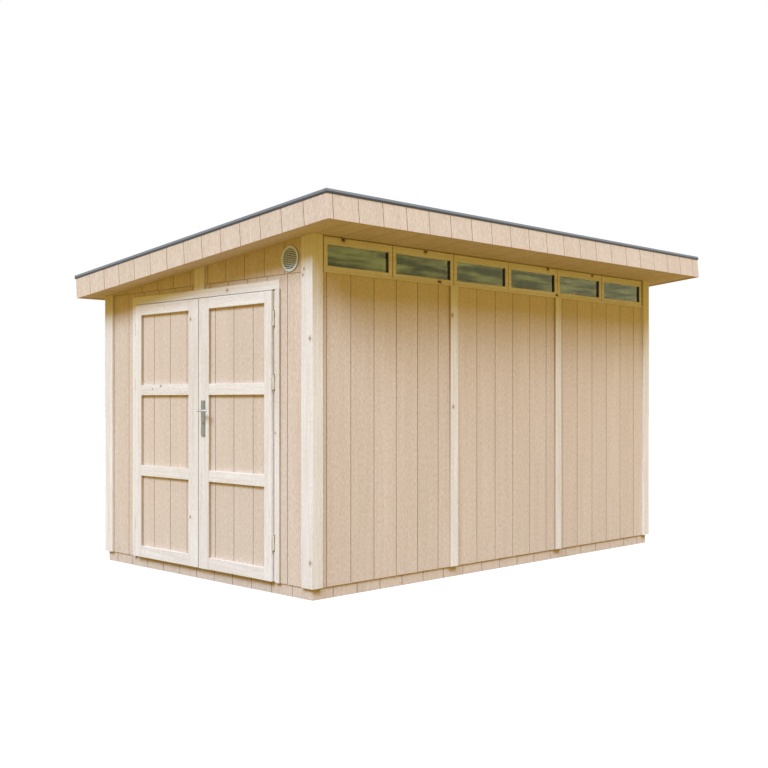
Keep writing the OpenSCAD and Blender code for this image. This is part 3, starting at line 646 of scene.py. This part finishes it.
def soften(node, width):
    """Rounded edges on a CAD node, by modifiers alone."""
    weld = node.modifiers.new("weld", "WELD")
    weld.merge_threshold = WELD_REACH
    flat = node.modifiers.new("flat", "DECIMATE")
    flat.decimate_type = "DISSOLVE"
    flat.angle_limit = FLAT_ANGLE
    bevel = node.modifiers.new("bevel", "BEVEL")
    bevel.width = width
    bevel.segments = 2
    bevel.limit_method = "ANGLE"
    bevel.angle_limit = SHARP_ANGLE


for look, names in dressed.items():
    for name in names:
        nodes[name].data.materials.clear()
        nodes[name].data.materials.append(looks[look])
        if look in SOFT_EDGES:
            soften(nodes[name], SOFT_EDGES[look])


class Shape:
    """Collects the faces of one detail piece."""

    def __init__(self):
        self.points = []
        self.faces = []

    def take(self, points, faces, place=Matrix()):
        base = len(self.points)
        self.points += [place @ Vector(p) for p in points]
        self.faces += [tuple(base + n for n in face) for face in faces]

    def board(self, low, high, edge, place=Matrix()):
        """A box with chamfered edges: each corner has a point on each of its three faces."""
        points, index = [], {}
        for corner in range(8):
            for axis in range(3):
                index[corner, axis] = len(points)
                inset = [0 if n == axis else edge for n in range(3)]
                points.append([high[n] - inset[n] if (corner >> n) & 1 else low[n] + inset[n]
                               for n in range(3)])
        faces = [[index[corner, axis] for axis in range(3)] for corner in range(8)]
        for axis in range(3):
            a, b = [n for n in range(3) if n != axis]
            ring = [(i << a) | (j << b) for i, j in ((0, 0), (1, 0), (1, 1), (0, 1))]
            for end in (0, 1 << axis):
                faces.append([index[near | end, axis] for near in ring])
            for near in ring:
                far = near | (1 << axis)
                faces.append([index[near, a], index[far, a], index[far, b], index[near, b]])
        self.take(points, faces, place)

    def lathe(self, profile, place, count=20):
        """A turned form: profile is a list of (radius, height) along the local z axis."""
        turns = [2 * math.pi * n / count for n in range(count)]
        points = [(r * math.cos(turn), r * math.sin(turn), h) for r, h in profile for turn in turns]
        faces = []
        for foot in range(0, len(points) - count, count):
            for n in range(count):
                after = (n + 1) % count
                faces.append((foot + n, foot + after, foot + count + after, foot + count + n))
        faces.append(tuple(range(count))[::-1])
        faces.append(tuple(range(len(points) - count, len(points))))
        self.take(points, faces, place)

    def bar(self, ends):
        """A closed bar between two like outlines."""
        count = len(ends[0])
        faces = [(n, (n + 1) % count, count + (n + 1) % count, count + n) for n in range(count)]
        faces += [tuple(range(count))[::-1], tuple(range(count, 2 * count))]
        self.take([p for end in ends for p in end], faces)

    def make(self, name, look, body, slot, smooth=False):
        """The piece, with its faces turned outwards, on a body of the frame."""
        mesh = bpy.data.meshes.new(name)
        mesh.from_pydata(self.points, [], self.faces)
        mesh.validate()
        work = bmesh.new()
        work.from_mesh(mesh)
        bmesh.ops.recalc_face_normals(work, faces=work.faces)
        work.to_mesh(mesh)
        work.free()
        for face in mesh.polygons:
            face.use_smooth = smooth
        mesh.materials.append(looks[look])
        made = bpy.data.objects.new(name, mesh)
        bpy.context.scene.collection.objects.link(made)
        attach(made, body)
        return made


def facing(direction, place):
    """A place whose local z axis points along direction."""
    return Matrix.Translation(place) @ Vector(direction).to_track_quat("Z", "Y").to_matrix().to_4x4()


def plank_row(low, high, count, joint, edge, place=Matrix()):
    """Planks with eased edges, side by side along x between two corners."""
    width = (high[0] - low[0]) / count
    row = Shape()
    for n in range(count):
        left = low[0] + n * width + joint / 2
        right = low[0] + (n + 1) * width - joint / 2
        row.board((left, low[1], low[2]), (right, high[1], high[2]), edge, place)
    return row


# Floor boards and roof boards
FLOOR_JOINT, FLOOR_EDGE = 0.0012, 0.0015
floor_planks = plank_row(FLOOR_LOW, FLOOR_HIGH, FLOOR_PLANKS, FLOOR_JOINT, FLOOR_EDGE)
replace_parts(floor_planks.make("floor_planks", "planks", "shed", "framing"), "floor_boards")

ROOF = Matrix.Translation(ROOF_FOOT) @ Matrix.Rotation(-SLOPE, 4, "Y")
DECK_PLANKS, DECK_JOINT, DECK_EDGE = 28, 0.0008, 0.002
deck_low, deck_high = (U_LOW, ROOF_Y0, DECK_FOOT), (U_HIGH, ROOF_Y1, DECK_TOP)
deck_planks = plank_row(deck_low, deck_high, DECK_PLANKS, DECK_JOINT, DECK_EDGE, ROOF)
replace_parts(deck_planks.make("deck_planks", "planks", "shed", "framing"), "roof_deck")

# Felt laps: each course of felt overlaps the one below it, and ends clear of the metal flanges
FELT_COURSES = 3
LAP_W, LAP_T, LAP_EDGE, LAP_CLEAR = 0.080, 0.002, 0.0009, 0.002
lap_end = FLANGE_W + LAP_CLEAR
laps = Shape()
for n in range(1, FELT_COURSES):
    u = U_LOW + n * (U_HIGH - U_LOW) / FELT_COURSES
    laps.board((u - LAP_W / 2, ROOF_Y0 + lap_end, FELT_TOP),
               (u + LAP_W / 2, ROOF_Y1 - lap_end, FELT_TOP + LAP_T), LAP_EDGE, ROOF)
laps.make("felt_laps", "felt", "shed", "roofing_felt")

# Glazing: timber beads over and under each pane, and rubber seals between them at its two ends.
# The outlines are (inset from the sash's edge, height over the glass).
BEAD = ((0.0, 0.0), (0.0, 0.008), (0.002, 0.0075), (0.004, 0.0058), (0.0052, 0.003), (0.0055, 0.0))
SEAL = ((0.0, 0.0), (0.0, 0.011), (0.0012, 0.0118), (0.0034, 0.0110), (0.0048, 0.0070), (0.0060, 0.0))
BEAD_H = 0.0056
beads, seals = Shape(), Shape()
foot, top = SASH_LOW.z + SASH_FOOT, SASH_HIGH.z - SASH_TOP
for n in range(SASH_COUNT):
    near = ROW_A + n * SASH_PITCH + SASH_GAP / 2 + SASH_STILE
    far = ROW_A + (n + 1) * SASH_PITCH - SASH_GAP / 2 - SASH_STILE
    for edge, inward in ((foot, 1), (top, -1)):
        beads.bar([[(GLASS_X + out, y, edge + inward * inset) for inset, out in BEAD] for y in (near, far)])
    for edge, inward in ((near, 1), (far, -1)):
        seals.bar([[(GLASS_X + out, edge + inward * inset, z) for inset, out in SEAL]
                   for z in (foot + BEAD_H, top - BEAD_H)])
beads.make("glazing_beads", "trim_sash", "shed", "trim")
seals.make("glazing_seals", "rubber", "shed", "roofing_felt")

# Lock: plate screws, and the key cylinder's face with its slot
SCREW = ((0.0036, 0.0), (0.0036, 0.0004), (0.0030, 0.0009), (0.0016, 0.0011), (0.0012, 0.0005),
         (0.0004, 0.0004))
KEY_FACE = ((0.0076, 0.0), (0.0076, 0.0004), (0.0068, 0.0010), (0.0030, 0.0010), (0.0028, 0.0004),
            (0.0008, 0.0004))
PLATE_INSET = 0.005
SLOT_W, SLOT_H, SLOT_T, SLOT_EDGE = 0.0014, 0.008, 0.0008, 0.0002
OUTWARDS = (0, -1, 0)
lock_screws = Shape()
for z in (PLATE_LOW.z + PLATE_INSET, PLATE_HIGH.z - PLATE_INSET):
    lock_screws.lathe(SCREW, facing(OUTWARDS, (LOCK_X, LOCK_FACE, z)))
lock_screws.make("lock_screws", "satin_steel", "right_door", "lock_steel", smooth=True)

key_face = Shape()
key_z = LEVER_Z - KEY_DROP
key_face.lathe(KEY_FACE, facing(OUTWARDS, (LOCK_X, PLATE_LOW.y, key_z)))
key_face.board((LOCK_X - SLOT_W / 2, PLATE_LOW.y - SLOT_T, key_z - SLOT_H / 2),
               (LOCK_X + SLOT_W / 2, PLATE_LOW.y, key_z + SLOT_H / 2), SLOT_EDGE)
key_face.make("key_cylinder_face", "satin_steel", "right_door", "lock_steel", smooth=True)

# Hinge screws, two in each flap
FLAP_OUT, SCREW_STEP = 0.013, 0.027
flap_y = Y0 - FLAP_OUT
frame_screws = Shape()
for side, (edge, inward) in HINGE_EDGES.items():
    frame_flap = edge - (HINGE_GAP - FLAP_T) * inward
    leaf_flap = edge - FLAP_T * inward
    leaf_screws = Shape()
    for z in HINGE_Z:
        for screw_z in (z - SCREW_STEP, z + SCREW_STEP):
            frame_screws.lathe(SCREW, facing((inward, 0, 0), (frame_flap, flap_y, screw_z)))
            leaf_screws.lathe(SCREW, facing((-inward, 0, 0), (leaf_flap, flap_y, screw_z)))
    leaf_screws.make(side + "_hinge_screws", "zinc", side + "_door", "hinge_steel", smooth=True)
frame_screws.make("frame_hinge_screws", "zinc", "shed", "hinge_steel", smooth=True)

# Jamb strips that narrow the gap at the hinge edges, broken at each hinge
LEAF_CLEAR, JAMB_CLEAR, STOP_CLEAR = 0.0075, 0.0004, 0.0005
STRIP_OUT, STRIP_EDGE, STRIP_BREAK = 0.020, 0.001, 0.050
strip_front, strip_back = Y0 - STRIP_OUT, STOP_Y - STOP_CLEAR
jamb_strips = Shape()
for edge, inward in HINGE_EDGES.values():
    left, right = sorted((edge - (HINGE_GAP - JAMB_CLEAR) * inward, edge - LEAF_CLEAR * inward))
    breaks = [z + step for z in HINGE_Z for step in (-STRIP_BREAK, STRIP_BREAK)]
    stops = [LEAF_LOW.z, *breaks, LEAF_HIGH.z]
    for low, high in zip(stops[::2], stops[1::2]):
        jamb_strips.board((left, strip_front, low), (right, strip_back, high), STRIP_EDGE)
jamb_strips.make("jamb_strips", "trim_upright", "shed", "trim")

# Floor, light and background
WHITE = (1, 1, 1, 1)
EARTH, PALE_GREY = (0.25, 0.160, 0.022, 1), (0.35, 0.35, 0.35, 1)
FLOOR_GLOW = 0.72
FLOOR_REACH, FLOOR_Z = 60, -0.001


def stage_material():
    """White to the camera apart from the shadow, and earth brown to the light that it sends back up."""
    made = bpy.data.materials.new("stage_floor")
    made.use_nodes = True
    net = Net(made.node_tree)
    made.node_tree.nodes.remove(made.node_tree.nodes["Principled BSDF"])
    ground = net.add("BsdfDiffuse", values={"Color": EARTH})
    pale = net.add("BsdfDiffuse", values={"Color": PALE_GREY})
    glow = net.add("Emission", values={"Color": WHITE, "Strength": FLOOR_GLOW})
    shown = net.add("AddShader", {0: pale.outputs[0], 1: glow.outputs[0]})
    both = net.add("MixShader", {0: net.seen(), 1: ground.outputs[0], 2: shown.outputs[0]})
    net.tree.links.new(both.outputs[0], made.node_tree.nodes["Material Output"].inputs["Surface"])
    return made


corners = [(x * FLOOR_REACH, y * FLOOR_REACH, FLOOR_Z) for x, y in ((-1, -1), (1, -1), (1, 1), (-1, 1))]
floor_mesh = bpy.data.meshes.new("stage_floor")
floor_mesh.from_pydata(corners, [], [(0, 1, 2, 3)])
floor_mesh.materials.append(stage_material())
floor = bpy.data.objects.new("stage_floor", floor_mesh)
bpy.context.scene.collection.objects.link(floor)

# A warm dome lights the shed, and the camera sees white behind it
DOME_COLOUR, DOME_STRENGTH = (1.0, 0.76, 0.27, 1), 0.58
world = bpy.data.worlds.new("studio")
world.use_nodes = True
bpy.context.scene.world = world
net = Net(world.node_tree)
dome = world.node_tree.nodes["Background"]
dome.inputs["Color"].default_value = DOME_COLOUR
dome.inputs["Strength"].default_value = DOME_STRENGTH
backdrop = net.add("Background", values={"Color": WHITE, "Strength": 1.0})
both = net.add("MixShader", {0: net.seen(), 1: dome.outputs[0], 2: backdrop.outputs[0]})
net.tree.links.new(both.outputs[0], world.node_tree.nodes["World Output"].inputs["Surface"])

# Soft light from three sides: direction, strength and colour
SOFTBOXES = {
    "front": ((0.20, -0.69, 0.696), 1.28, (0.57, 0.72, 1.0)),
    "right": ((0.54, 0.0, 0.84), 0.88, (0.61, 0.73, 1.0)),
    "back": ((-0.58, 0.58, 0.57), 1.15, (0.65, 0.78, 1.0)),
}
SOFTBOX_ANGLE = math.radians(26)
for name, (direction, strength, colour) in SOFTBOXES.items():
    light = bpy.data.lights.new("softbox_" + name, "SUN")
    light.energy = math.pi * strength
    light.color = colour
    light.angle = SOFTBOX_ANGLE
    lamp = bpy.data.objects.new("softbox_" + name, light)
    lamp.rotation_euler = Vector(direction).to_track_quat("Z", "Y").to_euler()
    bpy.context.scene.collection.objects.link(lamp)
